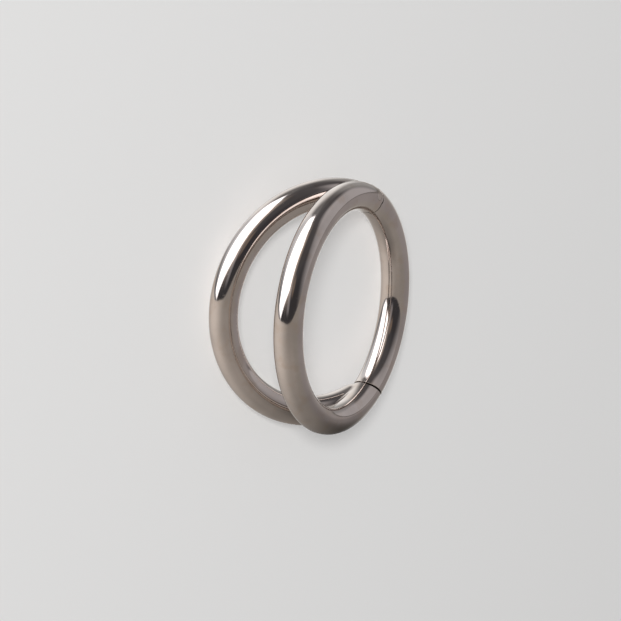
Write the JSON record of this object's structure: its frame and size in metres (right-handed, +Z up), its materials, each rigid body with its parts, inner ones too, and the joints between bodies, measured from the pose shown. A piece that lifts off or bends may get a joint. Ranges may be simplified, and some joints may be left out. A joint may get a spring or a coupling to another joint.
{
  "type": "segment ring",
  "caption": "Polished titanium piercing ring: round-wire hoops that lean apart from shared ends, closed by a hinged segment that swings outward.",
  "frame": {"origin": "on the ground below the middle of the ring as it lies on its side", "axes": "+Z up from the ground; +Y towards the hinge; +X from the leaning hoop's far point towards the middle of the segment"},
  "size_m": [0.0102, 0.0104, 0.0048],
  "materials": {
    "hoop_metal": "mirror-polished titanium, warm grey",
    "segment_metal": "mirror-polished titanium, warm grey",
    "pin_metal": "titanium pin, polished flush with the wire"
  },
  "bodies": {
    "hoops": {"double_hoop": "hoop_metal", "hinge_pin": "pin_metal"},
    "segment": {"hinged_segment": "segment_metal"}
  },
  "joints": [
    {"name": "segment_hinge", "type": "hinge", "parent": "hoops", "child": "segment", "pos_m": [0.00216, 0.00432, 0.00159], "axis": [0.3933, 0, 0.9194], "range_deg": [0, 90]}
  ]
}
